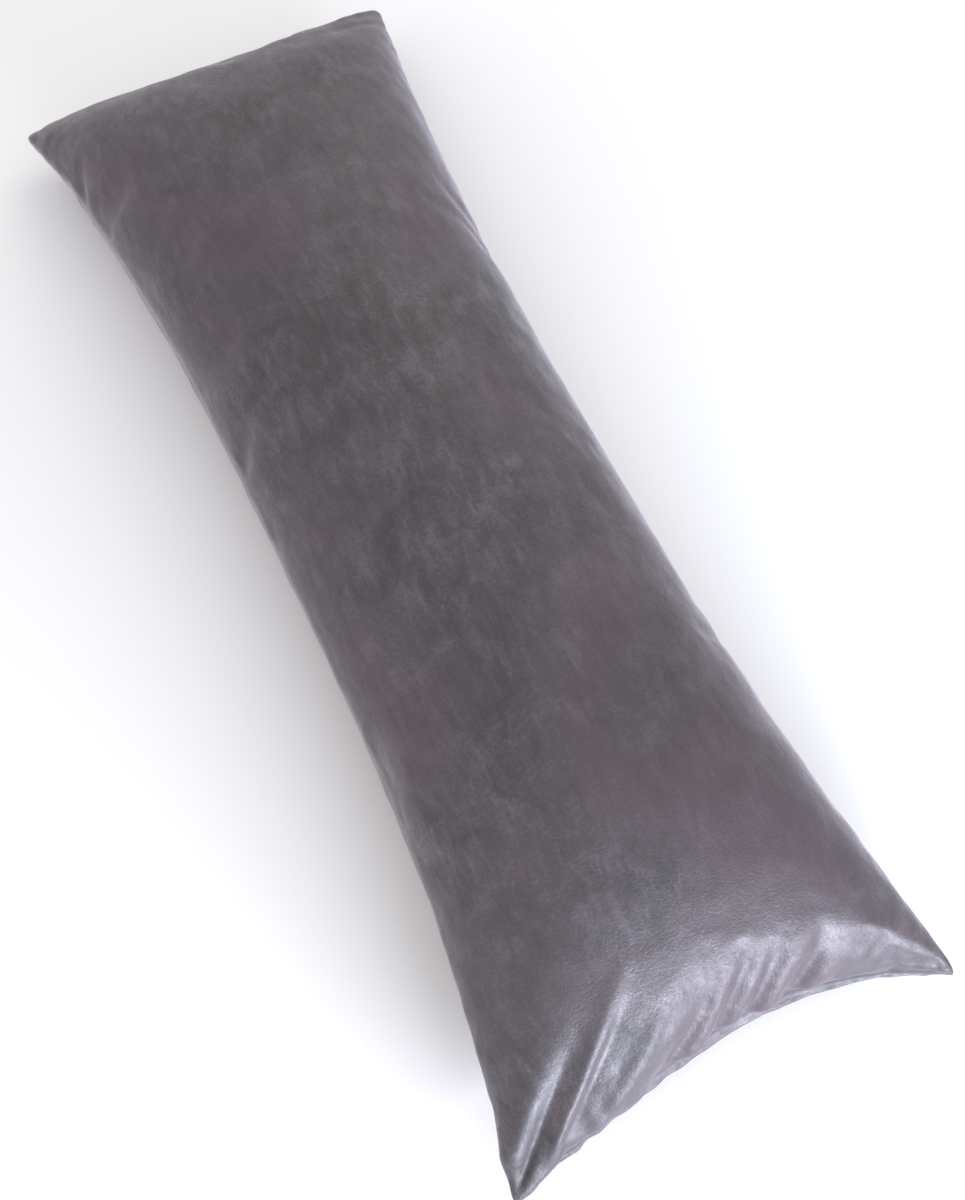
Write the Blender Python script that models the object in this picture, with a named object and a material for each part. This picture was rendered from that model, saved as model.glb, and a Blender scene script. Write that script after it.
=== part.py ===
# Body pillow: a long filled cushion of two plush panels, sewn together all round
# on one knife-edge seam. It lies on its back panel, pressed flat where it rests.
# Metres, +Z up. +X runs across the pillow and +Y along it, from the near end to
# the far end. The origin is under its middle, on the surface that it lies on.

import math
from typing import NamedTuple

import bmesh
import bpy
from mathutils import Vector

# Filled size: from ear to ear, before their tips are rounded, and up to the crown.
WIDTH = 0.480
LENGTH = 1.350
THICKNESS = 0.215

# How far the filling draws each edge in from the line between its two ears.
LEFT_DRAW = 0.056
RIGHT_DRAW = 0.059
NEAR_DRAW = 0.053
FAR_DRAW = 0.043

# The shape of that draw: a larger power keeps the edge straight for longer, and
# a shift moves the deepest point along the edge, as a share of half its length.
SIDE_POWER = 2.7
NEAR_POWER = 1.9
FAR_POWER = 1.8
SIDE_SHIFT = 0.06
NEAR_SHIFT = -0.16
FAR_SHIFT = -0.06

# Height of the seam above the floor at the ears, halfway along each side and
# halfway across each end.
EAR_HEIGHT = 0.040
SIDE_SEAM_HEIGHT = 0.076
END_SEAM_HEIGHT = 0.044
SEAM_POWER = 4.0

# The crown, across and along: a larger power makes a flatter top and rounder edge.
CROWN_ACROSS = 2.3
CROWN_ALONG = 4.0

# The back panel reaches the floor where the crown is this share of its height.
# Below the near seam it bulges out past it.
FLOOR_SHARE = 0.77
LIP_BULGE = 0.018
LIP_DEPTH = 0.015

# Each ear tip is rounded by drawing it in, over this distance.
EAR_DRAW = 0.005
EAR_REACH = 0.010

# Uneven filling: low swells over the face.
SWELL_HEIGHT = 0.0025
SWELLS_ACROSS = 2.2
SWELLS_ALONG = 5.3

# Folds die out over this distance from the seam.
SEAM_FADE = 0.014

# Cells of each panel, and how far they crowd towards the seam (0 is evenly).
CELLS_ACROSS = 30
CELLS_ALONG = 58
CROWDING = 0.55

STEP = 0.001
MERGE = 0.0001


class Fold(NamedTuple):
    """A soft ridge, or a trough where its height is negative, on the face panel."""

    name: str
    start_x: float
    start_y: float
    end_x: float
    end_y: float
    width: float
    height: float


# The folds fan out from the near seam, where the filling pulls the cover tight
# between the ears, and one creases the far seam beside its right ear.
FOLDS = (
    Fold("left ear ridge", -0.214, -0.646, -0.098, -0.530, 0.013, 0.006),
    Fold("left ear trough", -0.196, -0.650, -0.080, -0.545, 0.010, -0.005),
    Fold("second ridge", -0.170, -0.646, -0.035, -0.512, 0.014, 0.007),
    Fold("second trough", -0.152, -0.644, -0.045, -0.550, 0.010, -0.006),
    Fold("middle ridge", -0.118, -0.632, 0.020, -0.540, 0.017, 0.008),
    Fold("middle trough", -0.070, -0.634, 0.000, -0.560, 0.010, -0.006),
    Fold("fourth ridge", -0.040, -0.630, 0.055, -0.540, 0.013, 0.005),
    Fold("fourth trough", 0.000, -0.622, 0.060, -0.565, 0.010, -0.004),
    Fold("right ridge", 0.025, -0.622, 0.130, -0.562, 0.013, 0.004),
    Fold("right ear trough", 0.190, -0.654, 0.120, -0.590, 0.014, -0.004),
    Fold("far seam crease", 0.216, 0.640, 0.120, 0.618, 0.008, -0.003),
)


def draw_in(along, power, shift):
    """Share of an edge's full draw at a place along it, 0 at its ears."""
    return 1 - abs(along + shift * (1 - along * along)) ** power


def crown(u, v):
    """Height of the crown at a panel place, 0 on the seam and 1 in the middle."""
    across = max(0.0, 1 - abs(u) ** CROWN_ACROSS)
    along = max(0.0, 1 - abs(v) ** CROWN_ALONG)
    return math.sqrt(across * along)


def seam_height(u, v):
    """Height at which the seam and the parting between the panels lie."""
    end_share = abs(v) ** SEAM_POWER
    side = (SIDE_SEAM_HEIGHT - EAR_HEIGHT) * (1 - end_share)
    end = (END_SEAM_HEIGHT - EAR_HEIGHT) * end_share * (1 - u * u)
    return EAR_HEIGHT + side + end


def plan(u, v):
    """Place on the floor plan of a panel place, with u and v from -1 to 1."""
    side_draw = LEFT_DRAW if u < 0 else RIGHT_DRAW
    x = u * (WIDTH / 2 - side_draw * draw_in(v, SIDE_POWER, SIDE_SHIFT))
    if v < 0:
        end_draw = NEAR_DRAW * draw_in(u, NEAR_POWER, NEAR_SHIFT)
    else:
        end_draw = FAR_DRAW * draw_in(u, FAR_POWER, FAR_SHIFT)
    y = v * (LENGTH / 2 - end_draw)
    from_ear = (1 - abs(u)) * WIDTH / 2 + (1 - abs(v)) * LENGTH / 2
    tip = EAR_DRAW * math.exp(-from_ear / EAR_REACH)
    return x - math.copysign(tip, u), y - math.copysign(tip, v)


def face_form(u, v):
    """The face panel without its folds: the crown with its low swells."""
    x, y = plan(u, v)
    rise = crown(u, v)
    swell = math.sin(SWELLS_ACROSS * u + 1.0) * math.sin(SWELLS_ALONG * v)
    base = seam_height(u, v)
    return Vector((x, y, base + (THICKNESS - base) * rise + SWELL_HEIGHT * swell * rise))


def back_form(u, v):
    """The back panel: down from the seam to the flat where the pillow rests."""
    x, y = plan(u, v)
    if v < 0:
        inward = (1 + v) * LENGTH / 2
        bulge = inward / LIP_DEPTH * math.exp(1 - inward / LIP_DEPTH)
        y -= LIP_BULGE * bulge * (1 - u * u)
    height = seam_height(u, v) * (1 - crown(u, v) / FLOOR_SHARE)
    return Vector((x, y, max(0.0, height)))


def fold_height(fold, x, y):
    """Height of one fold at a place: rounded across, fading out along its run."""
    run_x = fold.end_x - fold.start_x
    run_y = fold.end_y - fold.start_y
    run = math.hypot(run_x, run_y)
    along = ((x - fold.start_x) * run_x + (y - fold.start_y) * run_y) / run ** 2
    if not 0 < along < 1:
        return 0.0
    aside = ((y - fold.start_y) * run_x - (x - fold.start_x) * run_y) / run
    return fold.height * math.cos(along * math.pi / 2) * math.exp(-(aside / fold.width) ** 2)


def face_place(u, v):
    """The face panel with its folds, raised along its own outward direction."""
    place = face_form(u, v)
    rim = min((1 - abs(u)) * WIDTH / 2, (1 - abs(v)) * LENGTH / 2)
    height = sum(fold_height(fold, place.x, place.y) for fold in FOLDS)
    if rim <= 0 or height == 0:
        return place
    across = face_form(u + STEP, v) - face_form(u - STEP, v)
    along = face_form(u, v + STEP) - face_form(u, v - STEP)
    outward = across.cross(along).normalized()
    return place + outward * height * min(1.0, rim / SEAM_FADE)


def crowd(share):
    """Move a grid line towards the seam, where the form curves most."""
    return (1 - CROWDING) * share + CROWDING * math.sin(share * math.pi / 2)


def add_panel(bm, form):
    """Add one panel as a square grid and shape it by a form of u and v."""
    grid = bmesh.ops.create_grid(bm, x_segments=CELLS_ACROSS, y_segments=CELLS_ALONG, size=1.0)
    for vert in grid["verts"]:
        u = max(-1.0, min(1.0, vert.co.x))
        v = max(-1.0, min(1.0, vert.co.y))
        vert.co = form(crowd(u), crowd(v))
    return {face for vert in grid["verts"] for face in vert.link_faces}


def build_pillow():
    """Both panels, joined on their seam into one filled solid."""
    bm = bmesh.new()
    add_panel(bm, face_place)
    back = add_panel(bm, back_form)
    bmesh.ops.reverse_faces(bm, faces=list(back))
    bmesh.ops.remove_doubles(bm, verts=bm.verts, dist=MERGE)
    mesh = bpy.data.meshes.new("pillow")
    bm.to_mesh(mesh)
    bm.free()
    mesh.shade_smooth()
    return bpy.data.objects.new("pillow", mesh)


def velvet_cover():
    """Short grey plush with a slight mauve cast."""
    material = bpy.data.materials.new("velvet_cover")
    material.use_nodes = True
    shader = material.node_tree.nodes["Principled BSDF"]
    shader.inputs["Base Color"].default_value = (0.110, 0.098, 0.107, 1.0)
    shader.inputs["Roughness"].default_value = 0.85
    shader.inputs["Metallic"].default_value = 0.0
    return material


def main():
    for old in list(bpy.data.objects):
        bpy.data.objects.remove(old)
    collection = bpy.data.collections.new("body_pillow")
    bpy.context.scene.collection.children.link(collection)
    pillow = build_pillow()
    pillow.data.materials.append(velvet_cover())
    collection.objects.link(pillow)


main()
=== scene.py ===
import math

import bpy
import numpy as np
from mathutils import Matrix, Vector, noise


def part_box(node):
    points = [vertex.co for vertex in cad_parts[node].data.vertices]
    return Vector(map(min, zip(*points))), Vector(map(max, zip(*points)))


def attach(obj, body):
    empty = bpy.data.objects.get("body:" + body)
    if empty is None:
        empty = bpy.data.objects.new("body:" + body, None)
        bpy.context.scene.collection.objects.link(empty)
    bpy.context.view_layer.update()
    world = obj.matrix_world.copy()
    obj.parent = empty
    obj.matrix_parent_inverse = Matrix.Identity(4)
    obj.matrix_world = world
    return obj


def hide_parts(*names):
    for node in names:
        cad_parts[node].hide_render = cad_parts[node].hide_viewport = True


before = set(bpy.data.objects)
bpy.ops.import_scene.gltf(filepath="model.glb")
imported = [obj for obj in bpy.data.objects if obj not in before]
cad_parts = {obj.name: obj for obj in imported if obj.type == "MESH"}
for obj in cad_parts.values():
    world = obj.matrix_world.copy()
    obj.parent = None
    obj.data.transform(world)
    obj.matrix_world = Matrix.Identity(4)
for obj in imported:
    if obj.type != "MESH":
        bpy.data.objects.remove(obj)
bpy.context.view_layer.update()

restLow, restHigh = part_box("pillow")

# the sewn cover: two flat panels of plush, filled until they draw in (metres)
cover = {
    "cutWidth": 0.508, "cutLength": 1.372,           # each panel, seam to seam, laid flat
    "earRound": 0.005, "earReach": 0.010,            # how the ear tips are rounded back
    "leftDraw": 0.056, "rightDraw": 0.059,           # the filling pulls the edges in by these
    "nearDraw": 0.055, "farDraw": 0.043,
    "sidePower": 2.7, "nearPower": 1.9, "farPower": 1.8,
    "sideShift": 0.06, "nearShift": -0.16, "farShift": -0.06,
    "earHeight": 0.040, "sideSeamHeight": 0.076, "endSeamHeight": 0.044, "endPower": 4,
    "crownAcross": 2.3, "crownAlong": 4.0, "floorShare": 0.77,
    "swell": 0.002,                                  # the low swells of the filling come on top
    "lipBulge": 0.022, "lipDepth": 0.015,            # the back panel swells out below the end seams
    "cellsAcross": 80, "cellsAlong": 150,
    "crowdAcross": 0.45, "crowdAlong": 0.75,         # how far the grid lines move towards the seam
    "nearShare": 0.10, "weld": 0.00005,
}
halfWidth = (restHigh.x - restLow.x) / 2 + cover["earRound"]
halfLength = (restHigh.y - restLow.y) / 2 + cover["earRound"]
crownHeight = restHigh.z - cover["swell"]


def crowd(share, crowding):
    # the cover bends most near the seam, so its cells are smaller there
    return (1 - crowding) * share + crowding * np.sin(share * math.pi / 2)


def drawIn(along, power, shift):
    return 1 - np.abs(along + shift * (1 - along ** 2)) ** power


def filledForm(u, v, onBack):
    # u runs across a panel and v along it, both from -1 to 1; gives its place when filled
    sideDraw = np.where(u < 0, cover["leftDraw"], cover["rightDraw"])
    x = u * (halfWidth - sideDraw * drawIn(v, cover["sidePower"], cover["sideShift"]))
    nearEnd = cover["nearDraw"] * drawIn(u, cover["nearPower"], cover["nearShift"])
    farEnd = cover["farDraw"] * drawIn(u, cover["farPower"], cover["farShift"])
    y = v * (halfLength - np.where(v < 0, nearEnd, farEnd))
    toEar = (1 - np.abs(u)) * halfWidth + (1 - np.abs(v)) * halfLength
    tip = cover["earRound"] * np.exp(-toEar / cover["earReach"])
    x = x - np.sign(u) * tip
    y = y - np.sign(v) * tip
    rise = np.sqrt(np.clip(1 - np.abs(u) ** cover["crownAcross"], 0, 1)
                   * np.clip(1 - np.abs(v) ** cover["crownAlong"], 0, 1))
    endShare = v ** cover["endPower"]
    base = (cover["earHeight"] + (cover["sideSeamHeight"] - cover["earHeight"]) * (1 - endShare)
            + (cover["endSeamHeight"] - cover["earHeight"]) * endShare * (1 - u ** 2))
    if not onBack:
        return np.stack([x, y, base + (crownHeight - base) * rise], 1)
    inward = (1 - np.abs(v)) * halfLength / cover["lipDepth"]
    y = y + np.sign(v) * cover["lipBulge"] * inward * np.exp(1 - inward) * (1 - u ** 2)
    return np.stack([x, y, np.maximum(0, base * (1 - rise / cover["floorShare"]))], 1)


def readPoints(mesh):
    points = np.empty(len(mesh.vertices) * 3)
    mesh.vertices.foreach_get("co", points)
    return points.reshape(-1, 3)


def writePoints(mesh, points):
    mesh.vertices.foreach_set("co", points.ravel())
    mesh.update()


def readValues(mesh, name):
    values = np.empty(len(mesh.vertices))
    mesh.attributes[name].data.foreach_get("value", values)
    return values


def writeValues(mesh, name, values):
    mesh.attributes.new(name, "FLOAT", "POINT").data.foreach_set("value", values)


def selectOnly(piece):
    bpy.ops.object.select_all(action="DESELECT")
    piece.select_set(True)
    bpy.context.view_layer.objects.active = piece


def addPanel(name, onBack):
    bpy.ops.object.select_all(action="DESELECT")
    bpy.ops.mesh.primitive_grid_add(x_subdivisions=cover["cellsAcross"],
                                    y_subdivisions=cover["cellsAlong"], size=2)
    panel = bpy.context.object
    panel.name = name
    square = np.clip(readPoints(panel.data), -1, 1)
    u = crowd(square[:, 0], cover["crowdAcross"])
    v = crowd(square[:, 1], cover["crowdAlong"])
    v = v - cover["nearShare"] * (1 - v ** 2)        # finer still at the near end, where the folds are
    writeValues(panel.data, "across", u)
    writeValues(panel.data, "along", v)
    atSeam = np.maximum(np.abs(u), np.abs(v)) > 0.9999
    writeValues(panel.data, "onBack", np.where(atSeam, 0.5, float(onBack)))
    writePoints(panel.data, filledForm(u, v, onBack))
    if onBack:
        bpy.ops.object.mode_set(mode="EDIT")
        bpy.ops.mesh.select_all(action="SELECT")
        bpy.ops.mesh.flip_normals()
        bpy.ops.object.mode_set(mode="OBJECT")
    return panel


def sewPanels():
    face = addPanel("pillowCover", False)
    back = addPanel("backPanel", True)
    selectOnly(face)
    back.select_set(True)
    bpy.ops.object.join()
    bpy.ops.object.mode_set(mode="EDIT")
    bpy.ops.mesh.select_all(action="SELECT")
    bpy.ops.mesh.remove_doubles(threshold=cover["weld"])
    bpy.ops.object.mode_set(mode="OBJECT")
    print("sewn:", len(face.data.vertices), "points")
    return face


# folds of the face panel, each from its place at the seam to where it dies out (x, y in metres);
# bow bends its run sideways, spread is how much wider it ends, height below 0 is a crease,
# and a low sharpness gives a pinched line where a high one gives a round roll
foldColumns = ("startX", "startY", "endX", "endY", "bow", "width", "spread", "height", "sharpness")
foldRows = {
    "leftEarCrest":     (-0.222, -0.634, -0.128, -0.552, 0.000, 0.0110, 1.0, 0.0045, 2.0),
    "leftEarCrease":    (-0.216, -0.652, -0.112, -0.560, 0.002, 0.0065, 1.2, -0.0060, 1.2),
    "secondCrest":      (-0.178, -0.640, -0.056, -0.532, -0.002, 0.0060, 0.8, 0.0060, 1.7),
    "secondCrease":     (-0.170, -0.642, -0.052, -0.540, -0.003, 0.0060, 0.8, -0.0058, 1.2),
    "middleCrest":      (-0.136, -0.640, -0.018, -0.568, -0.002, 0.0060, 0.6, 0.0058, 1.2),
    "middleShoulder":   (-0.112, -0.638, -0.012, -0.584, -0.001, 0.0120, 0.2, 0.0040, 2.0),
    "middleLine":       (-0.058, -0.600, -0.022, -0.576, 0.001, 0.0028, 0.3, -0.0014, 1.2),
    "thirdCrease":      (-0.076, -0.634, 0.004, -0.588, -0.002, 0.0058, 0.6, -0.0068, 1.2),
    "thirdCrest":       (-0.040, -0.630, 0.046, -0.568, 0.000, 0.0062, 0.5, 0.0056, 1.5),
    "fourthCrease":     (-0.010, -0.626, 0.052, -0.566, 0.000, 0.0052, 0.5, -0.0046, 1.3),
    "fourthCrest":      (0.008, -0.622, 0.066, -0.576, 0.000, 0.0060, 0.4, 0.0042, 1.6),
    "fifthCrease":      (0.020, -0.624, 0.078, -0.584, 0.000, 0.0055, 0.4, -0.0040, 1.4),
    "rightCrest":       (0.038, -0.624, 0.114, -0.574, -0.001, 0.0090, 0.5, 0.0062, 1.6),
    "rightCrease":      (0.066, -0.624, 0.124, -0.586, -0.002, 0.0062, 0.6, -0.0068, 1.2),
    "rightRoll":        (0.084, -0.624, 0.156, -0.604, 0.001, 0.0075, 0.4, 0.0036, 1.8),
    "rightLine":        (0.104, -0.628, 0.178, -0.618, 0.001, 0.0045, 0.3, -0.0022, 1.4),
    "rightStreak":      (0.122, -0.630, 0.192, -0.600, 0.002, 0.0055, 0.3, 0.0018, 1.6),
    "rightEarHollow":   (0.212, -0.662, 0.150, -0.626, 0.004, 0.0120, 0.3, -0.0040, 1.8),
    "leftTuckA":        (-0.208, 0.440, -0.182, 0.500, 0.003, 0.0045, 0.6, -0.0034, 1.3),
    "leftTuckB":        (-0.207, 0.438, -0.168, 0.470, 0.003, 0.0045, 0.6, -0.0034, 1.3),
    "leftTuckC":        (-0.206, 0.436, -0.160, 0.446, 0.002, 0.0045, 0.6, -0.0025, 1.3),
    "leftTuckD":        (-0.212, 0.500, -0.184, 0.545, 0.003, 0.0045, 0.6, -0.0025, 1.3),
    "leftPullA":        (-0.186, -0.290, -0.162, -0.200, 0.002, 0.0050, 0.5, -0.0036, 1.3),
    "leftPullB":        (-0.188, -0.330, -0.166, -0.235, 0.002, 0.0050, 0.5, -0.0034, 1.3),
    "leftPullC":        (-0.190, -0.370, -0.174, -0.280, 0.002, 0.0048, 0.5, -0.0028, 1.3),
    "leftPullD":        (-0.194, -0.420, -0.182, -0.350, 0.002, 0.0048, 0.5, -0.0024, 1.3),
    "leftBackPull":     (-0.176, 0.080, -0.150, 0.120, 0.002, 0.0050, 0.5, -0.0022, 1.3),
    "rightDartA":       (0.183, 0.240, 0.150, 0.325, 0.003, 0.0040, 0.5, -0.0032, 1.3),
    "rightDartB":       (0.183, 0.200, 0.160, 0.262, 0.003, 0.0040, 0.5, -0.0026, 1.3),
    "rightPull":        (0.182, -0.292, 0.130, -0.286, 0.002, 0.0055, 0.5, -0.0020, 1.4),
    "rightPullAbove":   (0.184, -0.250, 0.138, -0.236, 0.002, 0.0055, 0.5, -0.0016, 1.4),
    "farSeamFold":      (0.222, 0.650, 0.130, 0.600, 0.002, 0.0045, 0.2, 0.0030, 1.6),
    "farSeamTrough":    (0.226, 0.660, 0.120, 0.612, 0.002, 0.0055, 0.2, -0.0034, 1.4),
    "farSeamWrinkle":   (0.212, 0.610, 0.120, 0.572, 0.003, 0.0045, 0.3, -0.0016, 1.4),
}


def foldHeights(points):
    # summed height of all the folds at each point, seen from above
    total = np.zeros(len(points))
    for row in foldRows.values():
        fold = dict(zip(foldColumns, row))
        runX, runY = fold["endX"] - fold["startX"], fold["endY"] - fold["startY"]
        run = math.hypot(runX, runY)
        offX, offY = points[:, 0] - fold["startX"], points[:, 1] - fold["startY"]
        along = (offX * runX + offY * runY) / run ** 2
        inside = np.clip(along, 0, 1)
        bowed = fold["bow"] * 4 * inside * (1 - inside)          # most at the middle of the run
        aside = (offY * runX - offX * runY) / run - bowed
        width = fold["width"] * (1 + fold["spread"] * inside)
        fade = np.cos(inside * math.pi / 2) * np.clip(1 + along * 8, 0, 1)       # soft at both ends
        total += fold["height"] * fade * np.exp(-np.abs(aside / width) ** fold["sharpness"])
    return total


def outwards(mesh):
    normals = np.empty(len(mesh.vertices) * 3)
    mesh.vertex_normals.foreach_get("vector", normals)
    return normals.reshape(-1, 3)


def seamDistance(mesh):
    u, v = readValues(mesh, "across"), readValues(mesh, "along")
    return np.minimum((1 - np.abs(u)) * halfWidth, (1 - np.abs(v)) * halfLength)


def unevenness(points, size):
    # smooth random heights from -1 to 1, size metres from hump to hump
    return np.array([noise.noise(Vector(p) / size) for p in points])


# fine gathers beside the seam; the folds go in partly before and partly after the filling presses
gathers = {"height": 0.0012, "spacing": 0.016, "reach": 0.030,
           "seamGap": 0.004, "foldGap": 0.006, "before": 0.8, "after": 0.85}


def placeFolds(piece, share):
    # the face panel takes the folds, and both panels the fine gathers beside the seam
    mesh = piece.data
    points = readPoints(mesh)
    toSeam = seamDistance(mesh)
    onFace = readValues(mesh, "onBack") < 0.4
    height = foldHeights(points) * onFace * np.clip(toSeam / gathers["foldGap"], 0, 1)
    nearSeam = np.exp(-toSeam / gathers["reach"]) * np.clip(toSeam / gathers["seamGap"], 0, 1)
    height += gathers["height"] * unevenness(points, gathers["spacing"]) * nearSeam
    height *= share * (points[:, 2] > 0.001)         # the underside stays flat
    writePoints(mesh, points + outwards(mesh) * height[:, None])
    print("folds placed:", len(foldRows), "at", share)


# the filling presses the slack cover out, which gathers it along the seams
filling = {
    "pressure": 4.0, "frames": 20, "quality": 8, "mass": 0.3,
    "stretch": 80, "shear": 20, "bending": 0.02, "damping": 8, "bendDamping": 0.5, "air": 2,
    "panelGap": 0.002, "swellRounds": 60,
    "cap": 0.014,                                    # how far a point may go
    "keepSwell": 0.15,                               # how much of the broad swelling stays
}


def edgeAverages(mesh, values, rounds):
    # each point takes the mean of its neighbours, some rounds over
    ends = np.empty(len(mesh.edges) * 2, int)
    mesh.edges.foreach_get("vertices", ends)
    a, b = ends.reshape(-1, 2).T
    count = np.bincount(np.concatenate([a, b]), minlength=len(mesh.vertices))[:, None]
    for turn in range(rounds):
        total = np.zeros_like(values)
        for k in range(values.shape[1]):
            total[:, k] = np.bincount(a, values[b, k], len(values))
            total[:, k] += np.bincount(b, values[a, k], len(values))
        values = 0.5 * values + 0.5 * total / count
    return values


def pressOut(piece):
    mesh = piece.data
    start = readPoints(mesh)
    u, v, onBack = (readValues(mesh, name) for name in ("across", "along", "onBack"))
    apart = (0.5 - onBack) * filling["panelGap"]
    flat = np.stack([u * cover["cutWidth"] / 2, v * cover["cutLength"] / 2, apart], 1)
    piece.shape_key_add(name="Basis")
    piece.shape_key_add(name="cutFlat").data.foreach_set("co", flat.ravel())
    held = piece.vertex_groups.new(name="held")      # what lies on the surface doesn't move
    held.add([int(i) for i in np.where(start[:, 2] < 0.0001)[0]], 1.0, "REPLACE")
    modifier = piece.modifiers.new("cloth", "CLOTH")
    cloth = modifier.settings
    cloth.quality = filling["quality"]
    cloth.mass = filling["mass"]
    for kind in ("tension", "compression"):
        setattr(cloth, kind + "_stiffness", filling["stretch"])
        setattr(cloth, kind + "_damping", filling["damping"])
    cloth.shear_stiffness = filling["shear"]
    cloth.shear_damping = filling["damping"]
    cloth.bending_stiffness = filling["bending"]
    cloth.bending_damping = filling["bendDamping"]
    cloth.air_damping = filling["air"]
    cloth.use_pressure = True
    cloth.uniform_pressure_force = filling["pressure"]
    cloth.vertex_group_mass = "held"
    cloth.rest_shape_key = mesh.shape_keys.key_blocks["cutFlat"]
    cloth.effector_weights.gravity = 0
    modifier.collision_settings.use_collision = False
    modifier.point_cache.frame_end = filling["frames"]
    for step in range(1, filling["frames"] + 1):
        bpy.context.scene.frame_set(step)
    pressed = piece.evaluated_get(bpy.context.evaluated_depsgraph_get())
    piece.data = bpy.data.meshes.new_from_object(pressed)
    piece.modifiers.clear()
    piece.vertex_groups.clear()
    moved = readPoints(piece.data) - start
    swell = edgeAverages(piece.data, moved, filling["swellRounds"])
    moved = moved - swell * (1 - filling["keepSwell"])
    size = np.linalg.norm(moved, axis=1, keepdims=True)
    moved = moved * np.minimum(1, filling["cap"] / np.maximum(size, 1e-9))
    writePoints(piece.data, start + moved)
    print("pressed out: largest move", round(float(size.max()) * 1000, 1), "mm")


# the stitched seam pulls in between two rolled rims, and the filling is never quite even
seam = {"depth": 0.0030, "width": 0.0022, "rim": 0.0011, "rimPlace": 0.0050, "rimWidth": 0.0026}
lumps = {"broad": 0.0009, "broadSize": 0.045, "fine": 0.0004, "fineSize": 0.014, "fullHeight": 0.010}


def pullSeam(piece):
    mesh = piece.data
    points = readPoints(mesh)
    toSeam = seamDistance(mesh)
    height = (seam["rim"] * np.exp(-((toSeam - seam["rimPlace"]) / seam["rimWidth"]) ** 2)
              - seam["depth"] * np.exp(-(toSeam / seam["width"]) ** 2))
    height += lumps["broad"] * unevenness(points, lumps["broadSize"])
    height += lumps["fine"] * unevenness(points, lumps["fineSize"])
    height *= np.clip(points[:, 2] / lumps["fullHeight"], 0, 1)
    points = points + outwards(mesh) * height[:, None]
    points[:, 2] = np.maximum(points[:, 2], 0)       # it lies flat on its back
    writePoints(mesh, points)
    print("seam pulled in")


def linear(hexColour):
    # an sRGB hex colour as linear light
    parts = [int(hexColour[k:k + 2], 16) / 255 for k in (1, 3, 5)]
    return tuple(c / 12.92 if c <= 0.04045 else ((c + 0.055) / 1.055) ** 2.4 for c in parts) + (1.0,)


def addNode(tree, kind, settings=None, **inputs):
    # one node: its settings, and each input, by name or as i0, i1, linked from a socket or given a value
    node = tree.nodes.new(kind)
    for name, value in (settings or {}).items():
        setattr(node, name, value)
    for name, value in inputs.items():
        byNumber = name[0] == "i" and name[1:].isdigit()
        socket = node.inputs[int(name[1:])] if byNumber else node.inputs[name]
        if isinstance(value, bpy.types.NodeSocket):
            tree.links.new(value, socket)
        else:
            socket.default_value = value
    return node


# short polyester plush (velvet), cut pile brushed by hand: matt and deep where the pile is seen end on,
# and painted paler, a painted sheen, where it leans over or is seen side on, with a soft satin light on
# tight folds (sizes in metres)
plush = {
    # the pale colour is partly painted sheen of pile that leans over, partly the plush's own random tone
    "deepNap": "#2A2529", "midNap": "#3A3539", "paleNapSheen": "#544D55",
    "deepAt": 0.38, "midAt": 0.51, "paleAt": 0.66,
    "mauveCast": "#4B3A43", "castShare": 0.5, "castSize": 0.180,     # it drifts over a hand or two
    "patchSize": 0.050, "patchWarp": 0.8,
    "brushSize": 0.011, "brushStretch": 0.30, "brushTurns": (-0.5, 0.9), "brushTilt": (0.2, 0.1),
    "tuftSize": 0.0030, "partSize": 0.022, "partWidth": 0.035, "partSheen": 0.07,
    "fibreSize": 0.0011, "reliefDepth": 0.0007,      # a real fibre is 0.02 mm; coarser so that it shows
    "relief": 0.4, "brushRelief": 1.2, "tuftRelief": 1.5,
    "sheen": 0.60, "sheenRoughness": 0.34, "sheenTint": "#DCD6E2",
    "smoothest": 0.42, "roughest": 0.60, "specular": 0.8,
}


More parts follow.
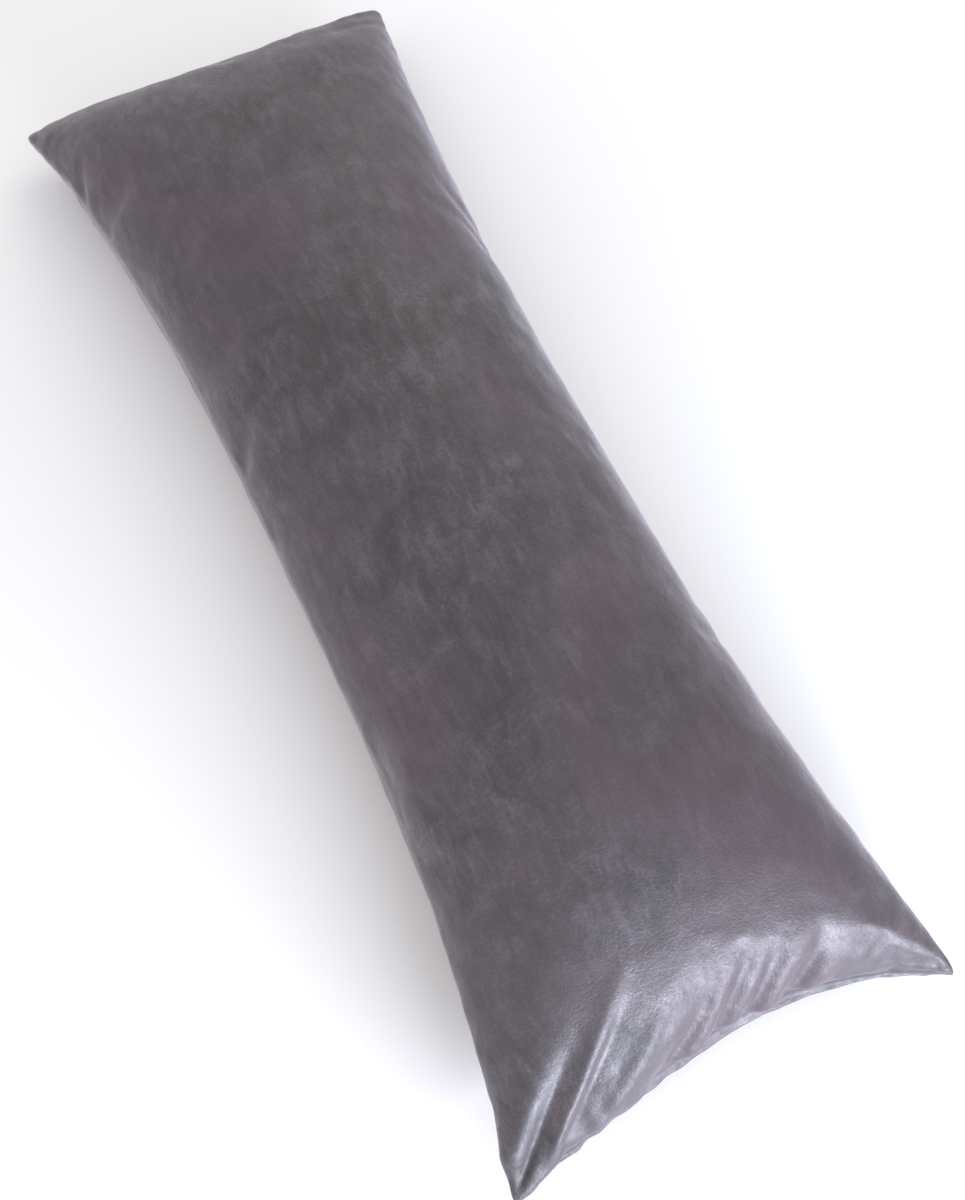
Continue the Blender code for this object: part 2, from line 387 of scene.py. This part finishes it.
def velvetPlush():
    material = bpy.data.materials.new("velvetPlush")
    material.use_nodes = True
    tree = material.node_tree
    shader = tree.nodes["Principled BSDF"]
    place = addNode(tree, "ShaderNodeTexCoord").outputs["Object"]
    # patches of pile leaning alike, painted paler and deeper as their sheen would show, single tufts and
    # fibres, and a slow drift towards mauve
    patch = addNode(tree, "ShaderNodeTexNoise", Vector=place, Scale=1 / plush["patchSize"], Detail=3.0,
                    Roughness=0.6, Distortion=plush["patchWarp"]).outputs[0]
    tuft = addNode(tree, "ShaderNodeTexNoise", Vector=place, Scale=1 / plush["tuftSize"], Detail=2.0,
                   Roughness=0.6).outputs[0]
    drift = addNode(tree, "ShaderNodeTexNoise", Vector=place, Scale=1 / plush["castSize"], Detail=1.0,
                    Roughness=0.6).outputs[0]
    fibre = addNode(tree, "ShaderNodeTexNoise", Vector=place, Scale=1 / plush["fibreSize"], Detail=1.0,
                    Roughness=0.6).outputs[0]
    # pile pushed by a hand, one way here and another there: noise drawn out along one direction
    strokes = []
    for turn in plush["brushTurns"]:
        turned = addNode(tree, "ShaderNodeMapping", i0=place, i2=plush["brushTilt"] + (turn,),
                         i3=(1.0, plush["brushStretch"], 1.0)).outputs[0]
        strokes.append(addNode(tree, "ShaderNodeTexNoise", Vector=turned, Scale=1 / plush["brushSize"],
                               Detail=3.0, Roughness=0.6, Distortion=0.5).outputs[0])
    side = addNode(tree, "ShaderNodeMapRange", i0=drift, i1=0.44, i2=0.56).outputs[0]
    brush = addNode(tree, "ShaderNodeMix", i0=side, i2=strokes[0], i3=strokes[1]).outputs[0]
    brushed = addNode(tree, "ShaderNodeMix", i0=0.48, i2=patch, i3=brush).outputs[0]
    nap = addNode(tree, "ShaderNodeMix", i0=0.26, i2=brushed, i3=tuft).outputs[0]
    # thin crooked lines where the pile parts, painted paler as a painted sheen
    level = addNode(tree, "ShaderNodeTexNoise", Vector=place, Scale=1 / plush["partSize"], Detail=2.0,
                    Roughness=0.6, Distortion=0.6).outputs[0]
    offLevel = addNode(tree, "ShaderNodeMath", {"operation": "SUBTRACT"}, i0=level, i1=0.5).outputs[0]
    distance = addNode(tree, "ShaderNodeMath", {"operation": "ABSOLUTE"}, i0=offLevel).outputs[0]
    line = addNode(tree, "ShaderNodeMapRange", i0=distance, i1=0.0, i2=plush["partWidth"],
                   i3=1.0, i4=0.0).outputs[0]
    parted = addNode(tree, "ShaderNodeMath", {"operation": "MULTIPLY"}, i0=line, i1=brush).outputs[0]
    shade = addNode(tree, "ShaderNodeMath", {"operation": "MULTIPLY_ADD"}, i0=parted,
                    i1=plush["partSheen"], i2=nap).outputs[0]
    # the ramp's pale end is partly painted sheen of leaning pile, partly the plush's own random tone
    ramp = addNode(tree, "ShaderNodeValToRGB", Fac=shade)
    ramp.color_ramp.elements[0].position = plush["deepAt"]
    ramp.color_ramp.elements[0].color = linear(plush["deepNap"])
    ramp.color_ramp.elements[1].position = plush["paleAt"]
    ramp.color_ramp.elements[1].color = linear(plush["paleNapSheen"])
    ramp.color_ramp.elements.new(plush["midAt"]).color = linear(plush["midNap"])
    warm = addNode(tree, "ShaderNodeMapRange", i0=drift, i1=0.42, i2=0.62, i3=0.0,
                   i4=plush["castShare"]).outputs[0]
    tinted = addNode(tree, "ShaderNodeMix", {"data_type": "RGBA"}, i0=warm, i6=ramp.outputs[0],
                     i7=linear(plush["mauveCast"])).outputs[2]
    tree.links.new(tinted, shader.inputs["Base Color"])
    pile = addNode(tree, "ShaderNodeMath", {"operation": "MULTIPLY_ADD"}, i0=tuft,
                   i1=plush["tuftRelief"], i2=fibre).outputs[0]
    height = addNode(tree, "ShaderNodeMath", {"operation": "MULTIPLY_ADD"}, i0=brush,
                     i1=plush["brushRelief"], i2=pile).outputs[0]
    bump = addNode(tree, "ShaderNodeBump", Strength=plush["relief"], Distance=plush["reliefDepth"],
                   Height=height)
    tree.links.new(bump.outputs[0], shader.inputs["Normal"])
    gloss = addNode(tree, "ShaderNodeMapRange", i0=nap, i1=0.38, i2=0.62,
                    i3=plush["roughest"], i4=plush["smoothest"]).outputs[0]
    tree.links.new(gloss, shader.inputs["Roughness"])
    shader.inputs["Specular IOR Level"].default_value = plush["specular"]
    shader.inputs["Sheen Weight"].default_value = plush["sheen"]
    shader.inputs["Sheen Roughness"].default_value = plush["sheenRoughness"]
    shader.inputs["Sheen Tint"].default_value = linear(plush["sheenTint"])
    print("material:", material.name)
    return material


pillow = sewPanels()
placeFolds(pillow, gathers["before"])
pressOut(pillow)
placeFolds(pillow, gathers["after"])
pullSeam(pillow)
selectOnly(pillow)
finer = pillow.modifiers.new("finer", "SUBSURF")
finer.levels = finer.render_levels = 1
bpy.ops.object.modifier_apply(modifier="finer")
bpy.ops.object.shade_smooth()
pillow.data.materials.clear()
pillow.data.materials.append(velvetPlush())
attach(pillow, "root")
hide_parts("pillow")
print("pillow finished:", len(pillow.data.polygons), "faces")

# seen from above its near left corner
viewpoint = {"azimuth": -25.86, "elevation": 66.4, "distance": 1.536, "lens": 44.17, "sensor": 36,
             "target": (-0.0043, -0.1308, 0.06)}


def turnFrom(azimuth, elevation):
    turn, tilt = math.radians(azimuth), math.radians(elevation)
    return Vector((math.sin(turn) * math.cos(tilt), -math.cos(turn) * math.cos(tilt), math.sin(tilt)))


def addCamera():
    cameraData = bpy.data.cameras.new("camera")
    camera = bpy.data.objects.new("camera", cameraData)
    bpy.context.scene.collection.objects.link(camera)
    outward = turnFrom(viewpoint["azimuth"], viewpoint["elevation"])
    camera.location = Vector(viewpoint["target"]) + outward * viewpoint["distance"]
    camera.rotation_euler = outward.to_track_quat("Z", "Y").to_euler()
    cameraData.lens = viewpoint["lens"]
    cameraData.sensor_width = viewpoint["sensor"]
    bpy.context.scene.camera = camera


# soft boxes aimed at the pillow: azimuth as the camera's, size across and up in metres, power in watts
studio = {
    "frontBox": {"azimuth": 6, "elevation": 11, "distance": 2.2, "size": (1.2, 0.45), "power": 78,
                 "colour": "#E6ECFF"},
    "leftFill": {"azimuth": -85, "elevation": 30, "distance": 2.4, "size": (2.0, 1.2), "power": 6,
                 "colour": "#FFE0DE"},
    "farFill": {"azimuth": 140, "elevation": 40, "distance": 2.4, "size": (1.6, 1.2), "power": 7,
                "colour": "#FFFBF4"},
    "aim": (0, -0.2, 0.08),
    "skyColour": "#F6F6F8", "skyStrength": 0.9,
    "floorColour": "#F7F7F7", "floorRoughness": 0.9, "floorSize": 14, "floorDrop": 0.0015,
}


def addStudio():
    for name in ("frontBox", "leftFill", "farFill"):
        facts = studio[name]
        light = bpy.data.lights.new(name, "AREA")
        light.shape = "RECTANGLE"
        light.size, light.size_y = facts["size"]
        light.energy = facts["power"]
        light.color = linear(facts["colour"])[:3]
        lamp = bpy.data.objects.new(name, light)
        bpy.context.scene.collection.objects.link(lamp)
        outward = turnFrom(facts["azimuth"], facts["elevation"])
        lamp.location = Vector(studio["aim"]) + outward * facts["distance"]
        lamp.rotation_euler = outward.to_track_quat("Z", "Y").to_euler()
    sky = bpy.data.worlds.new("sky")
    sky.use_nodes = True
    glow = sky.node_tree.nodes["Background"]
    glow.inputs["Color"].default_value = linear(studio["skyColour"])
    glow.inputs["Strength"].default_value = studio["skyStrength"]
    bpy.context.scene.world = sky
    bpy.context.scene.view_settings.view_transform = "Standard"
    bpy.ops.object.select_all(action="DESELECT")
    bpy.ops.mesh.primitive_plane_add(size=studio["floorSize"])
    floor = bpy.context.object
    floor.name = "floor"
    floor.location.z = -studio["floorDrop"]
    bpy.ops.object.transform_apply(location=True)
    paper = bpy.data.materials.new("mattPaper")
    paper.use_nodes = True
    shader = paper.node_tree.nodes["Principled BSDF"]
    shader.inputs["Base Color"].default_value = linear(studio["floorColour"])
    shader.inputs["Roughness"].default_value = studio["floorRoughness"]
    floor.data.materials.append(paper)


addCamera()
addStudio()
print("camera and studio placed")
